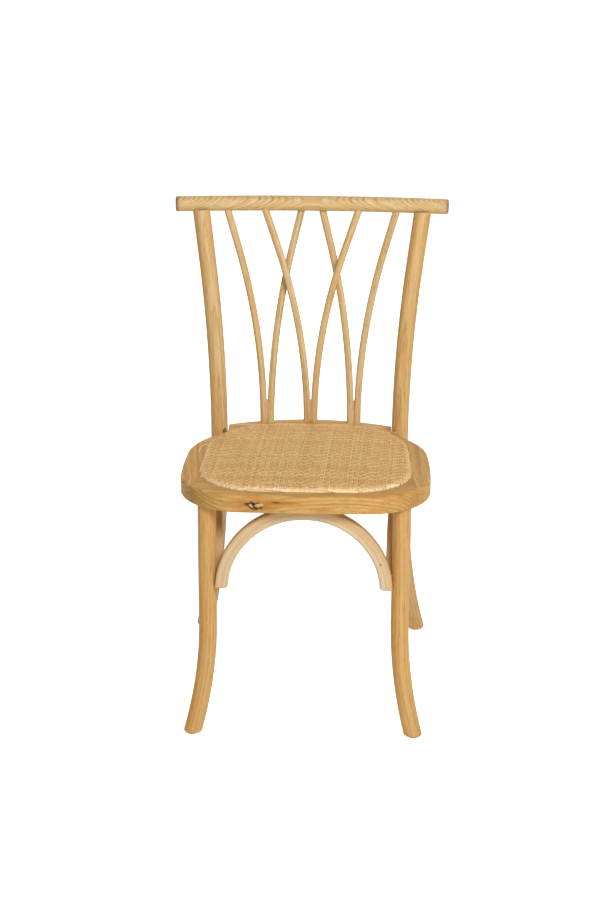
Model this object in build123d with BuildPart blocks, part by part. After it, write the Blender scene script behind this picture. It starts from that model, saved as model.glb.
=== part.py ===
from build123d import *
import os
from math import cos, radians, sin, tan

# A bent-wood dining chair: round bent legs, a bowed top rail over crossing spindles,
# a four-piece seat frame with a woven rattan pad, and arched braces under the seat.
# Millimetres, +Z up, +X to the sitter's left, +Y to the back.
# The origin is on the floor, under the middle of the chair.

# Overall sizes
overall_height = 885.0
overall_depth = 500.0
seat_height = 457.0

# Clearances: around glued round joints, and around the loose seat pad
joint_gap = 0.15
pad_gap = 1.2

# Seat frame in plan: setbacks from its front edge, and distances ahead of its back edge
frame_thickness = 31.0
seat_depth = 425.0
front_corner_half_width = 212.0
front_bow = 8.0
front_corner_radius = 112.0
ear_half_width = 212.0
ear_ahead = 142.0
ear_radius = 150.0
side_bow = 8.0
back_edge_radius = 345.0
frame_top_rounding = 6.0
frame_bottom_rounding = 2.5

# Joints between the four rails of the frame
front_joint_half_width = 185.0
front_joint_setback = 125.0
front_joint_flare = 0.14
back_joint_ahead = 140.0
dowel_diameter = 8.0
dowel_length = 30.0
dowel_height = 10.0
front_dowel_first = 12.0
front_dowel_pitch = 24.0
back_dowel_half_spacing = 149.0
back_dowel_pitch = 34.0

# Seat pad in its rebate
pad_half_width = 184.0
pad_back_half_width = 171.0
pad_front_setback = 26.0
pad_back_border = 44.0
pad_front_bow = 6.0
pad_side_bow = 4.0
pad_back_bow = 6.0
pad_front_radius = 100.0
pad_back_radius = 145.0
rebate_depth = 14.0
ledge_width = 40.0
board_thickness = 6.0
pad_edge_height = 2.0
pad_crown = 8.0
pad_edge_rounding = 4.0
rattan_thickness = 2.0
board_screw_inset = 22.0
front_board_screw_spacing = 190.0
back_board_screw_spacing = 140.0

# Front legs
front_leg_diameter = 32.0
front_leg_half_spacing = 169.0
front_leg_setback = 46.0
front_foot_out = 28.0
front_foot_forward = 29.5
front_leg_bend_height = 102.0
front_leg_straight_from = 210.0
leg_tenon_diameter = 22.0
leg_tenon_length = 15.0

# Rear legs, each one bent piece from the floor to the top rail
rear_leg_diameter = 31.0
post_half_spacing = 168.0
post_ahead = 78.5
rear_foot_half_spacing = 212.0
rear_foot_reach = 14.0
kick_bend_height = 215.0
lean_bend_height = 615.0
post_top_half_spacing = 204.0
post_shoulder_drop = 9.0
post_tenon_diameter = 15.0
post_tenon_length = 13.0
post_tenon_root = 5.0

# Feet
foot_rounding = 3.0
glide_thickness = 3.0
glide_diameter = 19.0
glide_rounding = 1.0
glide_nail_diameter = 3.0
glide_nail_length = 12.0

# Top rail
rail_diameter = 27.5
rail_length = 498.0
rail_behind = 5.5
rail_bow = 17.0
rail_end_rounding = 3.5

# Spindles, in pairs at the seat
spindle_diameter = 13.0
spindle_pair_gap = 0.3
outer_pair_half_spacing = 81.5
spindle_inset = 15.5
spindle_bend_height = 628.0
spindle_tenon_diameter = 9.0
spindle_tenon_length = 15.0
spindle_socket_depth = 10.0
outer_spindle_top = 157.0
front_spindle_top = 88.0
back_spindle_top = 17.0
outer_spindle_bow = 8.0
front_spindle_bow = -8.0
back_spindle_bow = 25.0
front_spindle_top_shift = -3.5
back_spindle_top_shift = 4.5

# Arched braces
brace_depth = 22.5
brace_width = 21.0
brace_rounding = 4.0
brace_corner_radius = 7.0
front_brace_ahead = 10.0
brace_crown_flat = 0.5
brace_end_rise = 3.0
brace_cope = 2.0
side_brace_cover = 9.0
side_brace_back_inset = 3.0

# Fasteners
screw_diameter = 4.0
screw_head_diameter = 8.0
screw_head_height = 2.6
brace_screw_length = 34.0
brace_screw_height = 26.0
board_screw_length = 22.0
bolt_diameter = 8.0
bolt_head_diameter = 13.0
bolt_head_height = 5.0
bolt_length = 52.0
bolt_plug_height = 5.0
bolt_height = 9.0
pocket_diameter = 11.0
pocket_depth = 6.0
pocket_rise = 2.0
pocket_angle = 45.0
toe_screw_length = 16.0
plug_proud = 3.5
plug_rounding = 1.5

# Share of a straight run that a bend may take
bend_share = 0.95

# Halvings of a centre line when a point is sought at a given height
halvings = 40

# Places worked out from the sizes above
front_y = -overall_depth / 2
back_y = front_y + seat_depth
frame_bottom = seat_height - frame_thickness
rebate_floor = seat_height - rebate_depth
frame_middle = frame_bottom + frame_thickness / 2
front_leg_radius = front_leg_diameter / 2
front_leg_y = front_y + front_leg_setback
rear_leg_radius = rear_leg_diameter / 2
post_y = back_y - post_ahead
notch_radius = rear_leg_radius + joint_gap
ear_y = back_y - ear_ahead
notch_y = post_y - notch_radius
rear_foot_y = overall_depth / 2 - rear_foot_reach
rail_radius = rail_diameter / 2
rail_z = overall_height - rail_radius
rail_y = back_y + rail_behind
spindle_radius = spindle_diameter / 2
pad_front_y = front_y + pad_front_setback
pad_back_y = back_y - pad_back_border
board_top = rebate_floor + board_thickness
pad_edge_z = seat_height + pad_edge_height
front_joint_y = front_y + front_joint_setback
back_joint_y = back_y - back_joint_ahead
beyond = overall_depth
SIDES = ((-1, "left"), (1, "right"))


def arc_y(x, middle_y, radius):
    """Y of an arc that bows backwards, at a distance x from the middle of the chair."""
    return middle_y - radius + (radius**2 - x**2) ** 0.5


def back_edge_y(x):
    return arc_y(x, back_y, back_edge_radius)


rail_arc_radius = ((rail_length / 2) ** 2 + rail_bow**2) / (2 * rail_bow)


def rail_line_y(x):
    return arc_y(x, rail_y, rail_arc_radius)


def bend_radius(start, corner, end):
    """Largest bend that fits the two straight runs at a corner."""
    run_in = Vector(*corner) - Vector(*start)
    run_out = Vector(*end) - Vector(*corner)
    turn = run_in.get_angle(run_out)
    return bend_share * min(run_in.length, run_out.length) / tan(radians(turn / 2))


def bent_line(start, corner, end):
    """Centre line of a round piece that is bent once."""
    with BuildLine() as line:
        FilletPolyline(start, corner, end, radius=[bend_radius(start, corner, end)])
    return line.line


def round_bar(line, radius):
    """A round bar along a centre line."""
    with BuildPart() as bar:
        with BuildSketch(line ^ 0):
            Circle(radius)
        sweep(path=line)
    return bar.part


def further(start, end, length):
    """The point a given length past end, on the line from start."""
    run = Vector(*end) - Vector(*start)
    return tuple(Vector(*end) + run.normalized() * length)


def drill(place, diameter, depth, back=0.0):
    """A round hole along a place's Z axis, opened backwards by back."""
    with Locations(place.offset(-back)):
        Cylinder(
            diameter / 2,
            depth + back,
            align=(Align.CENTER, Align.CENTER, Align.MIN),
            mode=Mode.SUBTRACT,
        )


def wood_screw(place, length):
    """A countersunk screw, with its head's top on the place's plane."""
    head = (Align.CENTER, Align.CENTER, Align.MIN)
    with Locations(place):
        Cone(screw_head_diameter / 2, screw_diameter / 2, screw_head_height, align=head)
        Cylinder(screw_diameter / 2, length, align=head)


def screw_hole(place, length):
    """The hole for a countersunk screw, open above its head."""
    drill(place, screw_diameter + 2 * joint_gap, length + joint_gap)
    drill(place, screw_head_diameter + 2 * joint_gap, screw_head_height, back=brace_depth)


def mirrored(side, point):
    return (side * point[0], point[1], point[2])


def place_at(point, direction):
    return Plane(origin=point, z_dir=direction)


# Outlines of the seat, in plan
def frame_outline():
    """Outer edge of the seat frame, before the notches for the posts."""
    corner_y = front_y + front_bow
    side_middle = (
        (front_corner_half_width + ear_half_width) / 2 + side_bow,
        (corner_y + ear_y) / 2,
    )
    post_back_y = back_edge_y(post_half_spacing)
    with BuildSketch() as outline:
        with BuildLine():
            ThreePointArc(
                (-front_corner_half_width, corner_y),
                (0, front_y),
                (front_corner_half_width, corner_y),
            )
            for side, _ in SIDES:
                ThreePointArc(
                    (side * front_corner_half_width, corner_y),
                    (side * side_middle[0], side_middle[1]),
                    (side * ear_half_width, ear_y),
                )
                Polyline(
                    (side * ear_half_width, ear_y),
                    (side * post_half_spacing, notch_y),
                    (side * post_half_spacing, post_back_y),
                )
            ThreePointArc(
                (-post_half_spacing, post_back_y),
                (0, back_y),
                (post_half_spacing, post_back_y),
            )
        make_face()
        corners = outline.vertices().sort_by(Axis.Y)
        fillet(corners[0:2], front_corner_radius)
        ears = outline.vertices().filter_by_position(Axis.Y, ear_y - joint_gap, ear_y + joint_gap)
        fillet(ears, ear_radius)
    return outline.sketch


def pad_outline(growth):
    """Edge of the seat pad, grown or shrunk all round."""
    front_half = pad_half_width + growth
    back_half = pad_back_half_width + growth
    front_corner_y = pad_front_y + pad_front_bow - growth
    back_corner_y = pad_back_y - pad_back_bow + growth
    side_half = (front_half + back_half) / 2 + pad_side_bow
    side_y = (front_corner_y + back_corner_y) / 2
    with BuildSketch() as outline:
        with BuildLine():
            ThreePointArc(
                (-front_half, front_corner_y),
                (0, pad_front_y - growth),
                (front_half, front_corner_y),
            )
            for side, _ in SIDES:
                ThreePointArc(
                    (side * front_half, front_corner_y),
                    (side * side_half, side_y),
                    (side * back_half, back_corner_y),
                )
            ThreePointArc(
                (-back_half, back_corner_y),
                (0, pad_back_y + growth),
                (back_half, back_corner_y),
            )
        make_face()
        corners = outline.vertices().sort_by(Axis.Y)
        fillet(corners[0:2], pad_front_radius + growth)
        corners = outline.vertices().sort_by(Axis.Y)
        fillet(corners[-2:], pad_back_radius + growth)
    return outline.sketch


# Centre lines of the round pieces
with BuildLine() as rail_arc:
    ThreePointArc(
        (-rail_length / 2, rail_y - rail_bow, rail_z),
        (0, rail_y, rail_z),
        (rail_length / 2, rail_y - rail_bow, rail_z),
    )
rail_space = round_bar(rail_arc.line, rail_radius + joint_gap)

rear_foot = (rear_foot_half_spacing, rear_foot_y, 0)
kick_corner = (post_half_spacing, post_y, kick_bend_height)
post_at_seat = (post_half_spacing, post_y, frame_middle)
lean_corner = (post_half_spacing, post_y, lean_bend_height)
post_top = (post_top_half_spacing, rail_line_y(post_top_half_spacing), rail_z)
post_direction = tuple((Vector(*post_top) - Vector(*lean_corner)).normalized())

front_foot = (
    front_leg_half_spacing + front_foot_out,
    front_leg_y - front_foot_forward,
    0,
)
front_leg_corner = (front_leg_half_spacing, front_leg_y, front_leg_bend_height)
front_leg_straight = (front_leg_half_spacing, front_leg_y, front_leg_straight_from)


def rear_leg_line(side):
    """From under the floor, where the foot is cut level, up to the top rail."""
    foot_end = further(kick_corner, rear_foot, rear_leg_diameter)
    lower = [foot_end, kick_corner, post_at_seat]
    upper = [post_at_seat, lean_corner, post_top]
    with BuildLine() as line:
        add(bent_line(*[mirrored(side, p) for p in lower]))
        add(bent_line(*[mirrored(side, p) for p in upper]))
    return line.line


def front_leg_line(side):
    """From under the floor up to the seat frame."""
    foot_end = further(front_leg_corner, front_foot, front_leg_diameter)
    lower = [foot_end, front_leg_corner, front_leg_straight]
    with BuildLine() as line:
        add(bent_line(*[mirrored(side, p) for p in lower]))
        Line(
            mirrored(side, front_leg_straight),
            (side * front_leg_half_spacing, front_leg_y, frame_bottom),
        )
    return line.line


# Spindles: the foot's distance from the middle, the top's, the bow and the top's shift
pair_half = (spindle_diameter + spindle_pair_gap) / 2
SPINDLES = {
    "outer": (
        outer_pair_half_spacing + pair_half,
        outer_spindle_top,
        outer_spindle_bow,
        0,
    ),
    "front": (
        pair_half,
        front_spindle_top,
        front_spindle_bow,
        front_spindle_top_shift,
    ),
    "back": (
        outer_pair_half_spacing - pair_half,
        back_spindle_top,
        back_spindle_bow,
        back_spindle_top_shift,
    ),
}
spindle_top_z = rail_z - rail_radius + spindle_socket_depth


def spindle_foot(side, kind):
    foot_x = SPINDLES[kind][0]
    pair_x = 0 if kind == "front" else outer_pair_half_spacing
    return (side * foot_x, back_edge_y(pair_x) - spindle_inset, seat_height)


def spindle_line(side, kind):
    """From just under the seat's top, where the foot is cut level, into the top rail."""
    _, top_x, bow, shift = SPINDLES[kind]
    foot = spindle_foot(side, kind)
    corner = (foot[0], foot[1] + bow, spindle_bend_height)
    top = (side * top_x, rail_line_y(top_x) + shift, spindle_top_z)
    return bent_line(further(corner, foot, spindle_radius), corner, top)


# Places of the fasteners
def arch_places(plane, half_span, leg_points):
    """Screws of one brace: one up into the seat frame and one into each leg."""
    inner = half_span - brace_depth
    crown = plane.from_local_coords((0, inner, 0))
    places = [place_at(crown, (0, 0, 1))]
    for end, leg_point in zip((-1, 1), leg_points):
        start = Vector(*plane.from_local_coords((end * inner, brace_screw_height, 0)))
        target = Vector(leg_point[0], leg_point[1], start.Z)
        places.append(place_at(start, target - start))
    return places


def arch_plane(start, end, height):
    """Upright plane of an arch: X along the span, Y up."""
    middle = (Vector(*start) + Vector(*end)) / 2
    span = Vector(end[0] - start[0], end[1] - start[1], 0)
    return Plane(
        origin=(middle.X, middle.Y, height),
        x_dir=span,
        z_dir=span.cross(Vector(0, 0, 1)),
    )


def arch_profile(half_span):
    """A half ring with rounded inner corners at its ends."""
    with BuildSketch() as profile:
        Circle(half_span)
        Circle(half_span - brace_depth, mode=Mode.SUBTRACT)
        with Locations((0, brace_end_rise - half_span)):
            Rectangle(2 * half_span, 2 * half_span, mode=Mode.SUBTRACT)
        ends = profile.vertices().group_by(Axis.Y)[0]
        fillet(ends.sort_by(lambda v: abs(v.X))[0:2], brace_corner_radius)
    return profile.sketch


def height_on(line, height):
    """The point of a rising centre line at a given height."""
    low, high = 0.0, 1.0
    for _ in range(halvings):
        middle = (low + high) / 2
        if (line @ middle).Z < height:
            low = middle
        else:
            high = middle
    return line @ low


rear_leg_lines = {side: rear_leg_line(side) for side, _ in SIDES}
front_leg_lines = {side: front_leg_line(side) for side, _ in SIDES}
rear_leg_space = {s: round_bar(rear_leg_lines[s], notch_radius) for s, _ in SIDES}
front_leg_space = {
    s: round_bar(front_leg_lines[s], front_leg_radius + joint_gap) for s, _ in SIDES
}

# Front brace: an arch between the front legs, flat on top where it meets the frame
front_brace_y = front_leg_y - front_brace_ahead
front_arch_half = front_leg_half_spacing - front_leg_radius + brace_cope
front_arch_z = frame_bottom + brace_crown_flat - front_arch_half
front_arch = arch_plane(
    (-front_arch_half, front_brace_y),
    (front_arch_half, front_brace_y),
    front_arch_z,
)
front_leg_axes = [(side * front_leg_half_spacing, front_leg_y) for side, _ in SIDES]
brace_places = {"front": arch_places(front_arch, front_arch_half, front_leg_axes)}

# Side braces: the same arch from each front leg's inner side to the rear leg
side_arches = {}
for side, _ in SIDES:
    front_axis = (side * front_leg_half_spacing, front_leg_y)
    rear_axis = height_on(rear_leg_lines[side], front_arch_z + brace_screw_height)
    arch_start = (side * (front_leg_half_spacing - front_leg_radius), front_leg_y + side_brace_cover)
    arch_end = (rear_axis.X - side * side_brace_back_inset, rear_axis.Y - side_brace_cover)
    side_half = (Vector(*arch_end) - Vector(*arch_start)).length / 2
    side_z = frame_bottom + brace_crown_flat - side_half
    side_arches[side] = (arch_plane(arch_start, arch_end, side_z), side_half)
    brace_places[side] = arch_places(*side_arches[side], [front_axis, (rear_axis.X, rear_axis.Y)])

# Rear leg bolts and toe screws
post_back_face_y = post_y + rear_leg_radius
bolt_z = frame_bottom + bolt_height
bolt_places = {
    side: place_at((side * post_half_spacing, post_back_face_y, bolt_z), (0, -1, 0)) for side, _ in SIDES
}
bolt_head_depth = bolt_plug_height + bolt_head_height
diagonal = cos(radians(45))


def toe_place(side):
    """Start of the pocket, on the post's face just above the seat."""
    reach = rear_leg_radius * diagonal
    mouth = (side * (post_half_spacing - reach), post_y - reach, seat_height + pocket_rise)
    run = cos(radians(pocket_angle)) * diagonal
    return place_at(mouth, (side * run, run, -sin(radians(pocket_angle))))


toe_head_depth = pocket_depth - screw_head_height


def post_tenon_place(side):
    """Root of the tenon, inside the post's top, pointing up into the top rail."""
    direction = Vector(*mirrored(side, post_direction))
    root = Vector(*mirrored(side, post_top)) - direction * (rail_radius + post_tenon_root)
    return place_at(root, direction)


# Dowels between the rails of the seat frame
dowel_z = frame_bottom + dowel_height
dowel_places = []
for side, _ in SIDES:
    for step in range(2):
        back = front_dowel_first + step * front_dowel_pitch
        point = (side * (front_joint_half_width + front_joint_flare * back), front_joint_y - back, dowel_z)
        dowel_places.append(place_at(point, (side, front_joint_flare, 0)))
        point = (side * (back_dowel_half_spacing + step * back_dowel_pitch), back_joint_y, dowel_z)
        dowel_places.append(place_at(point, (0, 1, 0)))

# Screws up through the ledge into the seat board
board_screw_places = []
for side, _ in SIDES:
    for spacing, screw_y in (
        (front_board_screw_spacing, pad_front_y + pad_front_bow + board_screw_inset),
        (back_board_screw_spacing, pad_back_y - pad_back_bow - board_screw_inset),
    ):
        board_screw_places.append(place_at((side * spacing / 2, screw_y, frame_bottom), (0, 0, 1)))

os.makedirs("parts", exist_ok=True)

# Seat frame: one ring, then four rails cut from it at the joints
with BuildPart() as seat_ring:
    with BuildSketch(Plane.XY.offset(frame_bottom)):
        add(frame_outline())
    extrude(amount=frame_thickness)
    top_edges = seat_ring.faces().sort_by(Axis.Z)[-1].edges()
    post_edges = top_edges.filter_by(Axis.Y)
    fillet([e for e in top_edges if e not in post_edges], frame_top_rounding)
    bottom_edges = seat_ring.faces().sort_by(Axis.Z)[0].edges()
    post_edges = bottom_edges.filter_by(Axis.Y)
    fillet([e for e in bottom_edges if e not in post_edges], frame_bottom_rounding)
    with BuildSketch(Plane.XY.offset(rebate_floor)):
        add(pad_outline(pad_gap))
    extrude(amount=rebate_depth, mode=Mode.SUBTRACT)
    with BuildSketch(Plane.XY.offset(frame_bottom)):
        add(pad_outline(-ledge_width))
    extrude(amount=frame_thickness, mode=Mode.SUBTRACT)
    for side, _ in SIDES:
        with BuildSketch(Plane.XY.offset(frame_bottom)) as notch:
            with Locations((side * (post_half_spacing - notch_radius + beyond / 2), notch_y + beyond / 2)):
                Rectangle(beyond, beyond)
            inner = notch.vertices().sort_by(lambda v: abs(v.X) + v.Y)[0]
            fillet(inner, notch_radius)
        extrude(amount=frame_thickness, mode=Mode.SUBTRACT)
        drill(toe_place(side), pocket_diameter, pocket_depth, back=pocket_diameter)
    for place in dowel_places:
        drill(place, dowel_diameter + 2 * joint_gap, dowel_length / 2, back=dowel_length / 2)
    for place in board_screw_places:
        screw_hole(place, board_screw_length)
    for side, _ in SIDES:
        drill(bolt_places[side], bolt_diameter + 2 * joint_gap, bolt_head_depth + bolt_length)
        tenon_place = place_at((side * front_leg_half_spacing, front_leg_y, frame_bottom), (0, 0, 1))
        drill(tenon_place, leg_tenon_diameter + 2 * joint_gap, leg_tenon_length + joint_gap)
        for kind in SPINDLES:
            foot_place = place_at(spindle_foot(side, kind), (0, 0, -1))
            drill(foot_place, spindle_tenon_diameter + 2 * joint_gap, spindle_tenon_length + joint_gap)
    for places in brace_places.values():
        screw_hole(places[0], brace_screw_length)

with BuildSketch(Plane.XY.offset(frame_bottom)) as front_zone:
    joint_end_x = front_joint_half_width + front_joint_flare * beyond
    Polygon(
        (-front_joint_half_width, front_joint_y),
        (-joint_end_x, front_joint_y - beyond),
        (joint_end_x, front_joint_y - beyond),
        (front_joint_half_width, front_joint_y),
        align=None,
    )
with BuildSketch(Plane.XY.offset(frame_bottom)) as back_zone:
    with Locations((0, back_joint_y + beyond / 2)):
        Rectangle(2 * beyond, beyond)

with BuildPart() as seat_front_rail:
    add(seat_ring.part)
    extrude(front_zone.sketch, amount=frame_thickness, mode=Mode.INTERSECT)
seat_front_rail.part.label = "seat_front_rail"
export_step(seat_front_rail.part, "parts/seat_front_rail.step")

with BuildPart() as seat_back_rail:
    add(seat_ring.part)
    extrude(back_zone.sketch, amount=frame_thickness, mode=Mode.INTERSECT)
seat_back_rail.part.label = "seat_back_rail"
export_step(seat_back_rail.part, "parts/seat_back_rail.step")

for side, name in SIDES:
    with BuildPart() as seat_side_rail:
        add(seat_ring.part)
        extrude(front_zone.sketch, amount=frame_thickness, mode=Mode.SUBTRACT)
        extrude(back_zone.sketch, amount=frame_thickness, mode=Mode.SUBTRACT)
        split(bisect_by=Plane.YZ, keep=Keep.TOP if side > 0 else Keep.BOTTOM)
    seat_side_rail.part.label = f"seat_{name}_rail"
    export_step(seat_side_rail.part, f"parts/seat_{name}_rail.step")

with BuildPart() as seat_frame_dowels:
    with Locations(*dowel_places):
        Cylinder(dowel_diameter / 2, dowel_length - 2 * joint_gap)
seat_frame_dowels.part.label = "seat_frame_dowels"
export_step(seat_frame_dowels.part, "parts/seat_frame_dowels.step")

# Seat pad: a board on the ledge, foam on the board, and a woven rattan cover over the foam
with BuildPart() as seat_board:
    with BuildSketch(Plane.XY.offset(rebate_floor)):
        add(pad_outline(0))
    extrude(amount=board_thickness)
    for place in board_screw_places:
        screw_hole(place, board_screw_length)
seat_board.part.label = "seat_board"
export_step(seat_board.part, "parts/seat_board.step")

crown_radius = (pad_half_width**2 + pad_crown**2) / (2 * pad_crown)
crown_top = pad_edge_z + pad_crown
pad_middle_y = (pad_front_y + pad_back_y) / 2


def crowned_pad(inset):
    """A pad on the seat board with a domed top, smaller by inset all round."""
    with BuildPart() as pad:
        with BuildSketch(Plane.XY.offset(board_top)):
            add(pad_outline(-inset))
        extrude(amount=crown_top - board_top)
        with Locations((0, pad_middle_y, crown_top - inset - crown_radius)):
            Sphere(crown_radius, mode=Mode.INTERSECT)
        fillet(pad.faces().sort_by(Axis.Z)[-1].edges(), pad_edge_rounding)
    return pad.part


with BuildPart() as seat_foam:
    add(crowned_pad(rattan_thickness + joint_gap))
seat_foam.part.label = "seat_foam"
export_step(seat_foam.part, "parts/seat_foam.step")

with BuildPart() as rattan_cover:
    add(crowned_pad(0))
    add(crowned_pad(rattan_thickness), mode=Mode.SUBTRACT)
rattan_cover.part.label = "rattan_cover"
export_step(rattan_cover.part, "parts/rattan_cover.step")

with BuildPart() as seat_board_screws:
    for place in board_screw_places:
        wood_screw(place, board_screw_length)
seat_board_screws.part.label = "seat_board_screws"
export_step(seat_board_screws.part, "parts/seat_board_screws.step")

# Front legs, with a tenon up into the seat frame
for side, name in SIDES:
    with BuildPart() as front_leg:
        add(round_bar(front_leg_lines[side], front_leg_radius))
        split(bisect_by=Plane.XY.offset(glide_thickness), keep=Keep.TOP)
        fillet(front_leg.faces().sort_by(Axis.Z)[0].edges(), foot_rounding)
        with Locations((side * front_leg_half_spacing, front_leg_y, frame_bottom)):
            Cylinder(
                leg_tenon_diameter / 2,
                leg_tenon_length,
                align=(Align.CENTER, Align.CENTER, Align.MIN),
            )
        nail_place = place_at((side * front_foot[0], front_foot[1], 0), (0, 0, 1))
        drill(nail_place, glide_nail_diameter + 2 * joint_gap, glide_thickness + glide_nail_length)
        for places in (brace_places["front"][1:], brace_places[side][1:]):
            for place in places:
                screw_hole(place, brace_screw_length)
    front_leg.part.label = f"front_leg_{name}"
    export_step(front_leg.part, f"parts/front_leg_{name}.step")

# Rear legs, coped under the top rail with a tenon up into it
for side, name in SIDES:
    with BuildPart() as rear_leg:
        add(round_bar(rear_leg_lines[side], rear_leg_radius))
        split(bisect_by=Plane.XY.offset(glide_thickness), keep=Keep.TOP)
        fillet(rear_leg.faces().sort_by(Axis.Z)[0].edges(), foot_rounding)
        split(bisect_by=Plane.XY.offset(rail_z - post_shoulder_drop), keep=Keep.BOTTOM)
        add(rail_space, mode=Mode.SUBTRACT)
        with Locations(post_tenon_place(side)):
            Cylinder(
                post_tenon_diameter / 2,
                post_tenon_root + post_tenon_length,
                align=(Align.CENTER, Align.CENTER, Align.MIN),
            )
        nail_place = place_at((side * rear_foot[0], rear_foot[1], 0), (0, 0, 1))
        drill(nail_place, glide_nail_diameter + 2 * joint_gap, glide_thickness + glide_nail_length)
        drill(bolt_places[side], bolt_head_diameter + 2 * joint_gap, bolt_head_depth, back=bolt_plug_height)
        drill(bolt_places[side], bolt_diameter + 2 * joint_gap, bolt_head_depth + bolt_length)
        drill(toe_place(side), pocket_diameter, pocket_depth, back=pocket_diameter)
        drill(toe_place(side), screw_diameter + 2 * joint_gap, toe_head_depth + toe_screw_length + joint_gap)
        for place in brace_places[side][1:]:
            screw_hole(place, brace_screw_length)
    rear_leg.part.label = f"rear_leg_{name}"
    export_step(rear_leg.part, f"parts/rear_leg_{name}.step")

# Top rail, with sockets for the rear legs and the spindles
spindle_lines = {(side, kind): spindle_line(side, kind) for side, _ in SIDES for kind in SPINDLES}

with BuildPart() as top_rail:
    add(round_bar(rail_arc.line, rail_radius))
    ends = top_rail.faces().filter_by(GeomType.PLANE)
    fillet(ends.edges(), rail_end_rounding)
    for side, _ in SIDES:
        drill(
            post_tenon_place(side),
            post_tenon_diameter + 2 * joint_gap,
            post_tenon_root + post_tenon_length + joint_gap,
        )
    for line in spindle_lines.values():
        add(round_bar(line, spindle_radius + joint_gap), mode=Mode.SUBTRACT)
top_rail.part.label = "top_rail"
export_step(top_rail.part, "parts/top_rail.step")

# Spindles, each with a tenon down into the back rail
for side, name in SIDES:
    for kind in SPINDLES:
        with BuildPart() as spindle:
            add(round_bar(spindle_lines[side, kind], spindle_radius))
            split(bisect_by=Plane.XY.offset(seat_height), keep=Keep.TOP)
            with Locations(spindle_foot(side, kind)):
                Cylinder(
                    spindle_tenon_diameter / 2,
                    spindle_tenon_length,
                    align=(Align.CENTER, Align.CENTER, Align.MAX),
                )
        spindle.part.label = f"spindle_{name}_{kind}"
        export_step(spindle.part, f"parts/spindle_{name}_{kind}.step")


# Braces: bent arches, flat on top under the frame, with ends hollowed to sit against the legs
def brace_arch(plane, half_span):
    """An arch with soft edges, shaped lying flat, then stood up in its place."""
    with BuildPart() as arch:
        with BuildSketch():
            add(arch_profile(half_span))
        extrude(amount=brace_width / 2, both=True)
        fillet(arch.faces().filter_by(Axis.Z).edges(), brace_rounding)
    with BuildPart() as placed:
        with Locations(plane):
            add(arch.part)
        split(bisect_by=Plane.XY.offset(frame_bottom), keep=Keep.BOTTOM)
    return placed.part


with BuildPart() as front_brace:
    add(brace_arch(front_arch, front_arch_half))
    for side, _ in SIDES:
        add(front_leg_space[side], mode=Mode.SUBTRACT)
    for place in brace_places["front"]:
        screw_hole(place, brace_screw_length)
front_brace.part.label = "front_brace"
export_step(front_brace.part, "parts/front_brace.step")

for side, name in SIDES:
    with BuildPart() as side_brace:
        add(brace_arch(*side_arches[side]))
        add(front_leg_space[side], mode=Mode.SUBTRACT)
        add(rear_leg_space[side], mode=Mode.SUBTRACT)
        for place in brace_places[side]:
            screw_hole(place, brace_screw_length)
    side_brace.part.label = f"{name}_brace"
    export_step(side_brace.part, f"parts/{name}_brace.step")

with BuildPart() as brace_screws:
    for places in brace_places.values():
        for place in places:
            wood_screw(place, brace_screw_length)
brace_screws.part.label = "brace_screws"
export_step(brace_screws.part, "parts/brace_screws.step")

# Bolts through the rear legs into the back rail, each under a wooden plug
with BuildPart() as rear_leg_bolts:
    for side, _ in SIDES:
        with Locations(bolt_places[side].offset(bolt_plug_height)):
            Cylinder(
                bolt_head_diameter / 2,
                bolt_head_height,
                align=(Align.CENTER, Align.CENTER, Align.MIN),
            )
            Cylinder(
                bolt_diameter / 2,
                bolt_head_height + bolt_length - joint_gap,
                align=(Align.CENTER, Align.CENTER, Align.MIN),
            )
rear_leg_bolts.part.label = "rear_leg_bolts"
export_step(rear_leg_bolts.part, "parts/rear_leg_bolts.step")

with BuildPart() as bolt_plugs:
    for side, _ in SIDES:
        add(round_bar(rear_leg_lines[side], rear_leg_radius))
    with Locations(*bolt_places.values()):
        Cylinder(
            bolt_head_diameter / 2,
            bolt_plug_height,
            align=(Align.CENTER, Align.CENTER, Align.MIN),
            mode=Mode.INTERSECT,
        )
bolt_plugs.part.label = "bolt_plugs"
export_step(bolt_plugs.part, "parts/bolt_plugs.step")

# Screws in pockets at the foot of each post, with a plug in the right pocket
with BuildPart() as toe_screws:
    for side, _ in SIDES:
        wood_screw(toe_place(side).offset(toe_head_depth), toe_screw_length)
toe_screws.part.label = "toe_screws"
export_step(toe_screws.part, "parts/toe_screws.step")

with BuildPart() as screw_plug:
    with Locations(toe_place(1).offset(-plug_proud)):
        Cylinder(
            pocket_diameter / 2 - joint_gap,
            plug_proud + toe_head_depth,
            align=(Align.CENTER, Align.CENTER, Align.MIN),
        )
    fillet(screw_plug.edges().sort_by(Axis.Z)[-1], plug_rounding)
screw_plug.part.label = "screw_plug"
export_step(screw_plug.part, "parts/screw_plug.step")

# Glides nailed under the feet
with BuildPart() as foot_glides:
    for foot in (front_foot, rear_foot):
        for side, _ in SIDES:
            with Locations(mirrored(side, foot)):
                Cylinder(
                    glide_diameter / 2,
                    glide_thickness,
                    align=(Align.CENTER, Align.CENTER, Align.MIN),
                )
                Cylinder(
                    glide_nail_diameter / 2,
                    glide_thickness + glide_nail_length,
                    align=(Align.CENTER, Align.CENTER, Align.MIN),
                )
    fillet(foot_glides.edges().group_by(Axis.Z)[0], glide_rounding)
foot_glides.part.label = "foot_glides"
export_step(foot_glides.part, "parts/foot_glides.step")
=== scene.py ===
import math
import random

import bmesh
import bpy
import numpy as np
from mathutils import Matrix, Vector, noise


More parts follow.
